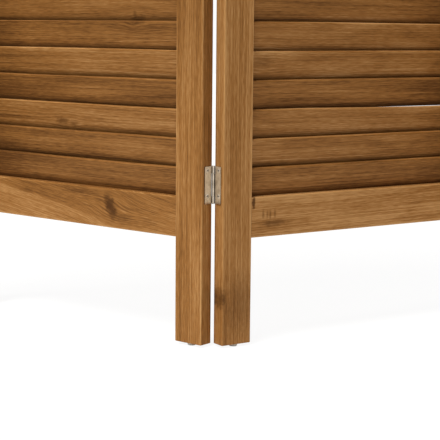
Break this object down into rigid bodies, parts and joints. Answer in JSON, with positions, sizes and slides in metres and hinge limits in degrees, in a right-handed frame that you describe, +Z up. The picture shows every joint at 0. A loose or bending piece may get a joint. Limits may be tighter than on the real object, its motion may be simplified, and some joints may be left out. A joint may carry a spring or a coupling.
{
  "type": "folding screen",
  "caption": "Free-standing folding room screen of hinged wooden panels, each a dowelled frame filled with fixed slanting louvre slats, on legs with small glides.",
  "frame": {"origin": "on the floor, in the middle of the zigzag's box", "axes": "+Z up, +X from the first panel to the last, -Y the front"},
  "size_m": [1.2098, 0.2238, 1.65],
  "materials": {
    "stained_wood": "honey-brown stained softwood under a thin satin lacquer",
    "stained_slat": "honey-brown stained slats under a thin satin lacquer, tones differing a little",
    "beech_dowel": "bare turned beech",
    "nickel_steel": "satin nickel-plated steel",
    "nylon": "moulded off-white nylon"
  },
  "bodies": {
    "panel_1": {"panel_1_left_stile": "stained_wood", "panel_1_right_stile": "stained_wood", "panel_1_bottom_rail": "stained_wood", "panel_1_middle_rail": "stained_wood", "panel_1_top_rail": "stained_wood", "panel_1_slats": "stained_slat", "panel_1_rail_dowels": "beech_dowel", "panel_1_glides": "nylon", "panel_1_hinge_screws": "nickel_steel", "fold_a_lower_left_leaf": "nickel_steel", "fold_a_middle_left_leaf": "nickel_steel", "fold_a_upper_left_leaf": "nickel_steel", "fold_a_hinge_pins": "nickel_steel"},
    "panel_2": {"panel_2_left_stile": "stained_wood", "panel_2_right_stile": "stained_wood", "panel_2_bottom_rail": "stained_wood", "panel_2_middle_rail": "stained_wood", "panel_2_top_rail": "stained_wood", "panel_2_slats": "stained_slat", "panel_2_rail_dowels": "beech_dowel", "panel_2_glides": "nylon", "panel_2_hinge_screws": "nickel_steel", "fold_a_lower_right_leaf": "nickel_steel", "fold_a_middle_right_leaf": "nickel_steel", "fold_a_upper_right_leaf": "nickel_steel", "fold_b_lower_left_leaf": "nickel_steel", "fold_b_middle_left_leaf": "nickel_steel", "fold_b_upper_left_leaf": "nickel_steel", "fold_b_hinge_pins": "nickel_steel"},
    "panel_3": {"panel_3_left_stile": "stained_wood", "panel_3_right_stile": "stained_wood", "panel_3_bottom_rail": "stained_wood", "panel_3_middle_rail": "stained_wood", "panel_3_top_rail": "stained_wood", "panel_3_slats": "stained_slat", "panel_3_rail_dowels": "beech_dowel", "panel_3_glides": "nylon", "panel_3_hinge_screws": "nickel_steel", "fold_b_lower_right_leaf": "nickel_steel", "fold_b_middle_right_leaf": "nickel_steel", "fold_b_upper_right_leaf": "nickel_steel", "fold_c_lower_left_leaf": "nickel_steel", "fold_c_middle_left_leaf": "nickel_steel", "fold_c_upper_left_leaf": "nickel_steel", "fold_c_hinge_pins": "nickel_steel"},
    "panel_4": {"panel_4_left_stile": "stained_wood", "panel_4_right_stile": "stained_wood", "panel_4_bottom_rail": "stained_wood", "panel_4_middle_rail": "stained_wood", "panel_4_top_rail": "stained_wood", "panel_4_slats": "stained_slat", "panel_4_rail_dowels": "beech_dowel", "panel_4_glides": "nylon", "panel_4_hinge_screws": "nickel_steel", "fold_c_lower_right_leaf": "nickel_steel", "fold_c_middle_right_leaf": "nickel_steel", "fold_c_upper_right_leaf": "nickel_steel"}
  },
  "joints": [
    {"name": "fold_a", "type": "hinge", "parent": "panel_2", "child": "panel_1", "pos_m": [-0.30331, 0.10005, 0.825], "axis": [0, 0, 1], "range_deg": [-72, 108]},
    {"name": "fold_b", "type": "hinge", "parent": "panel_2", "child": "panel_3", "pos_m": [0, -0.10005, 0.825], "axis": [0, 0, 1], "range_deg": [-72, 108]},
    {"name": "fold_c", "type": "hinge", "parent": "panel_3", "child": "panel_4", "pos_m": [0.30331, 0.10005, 0.825], "axis": [0, 0, -1], "range_deg": [-72, 108]}
  ]
}
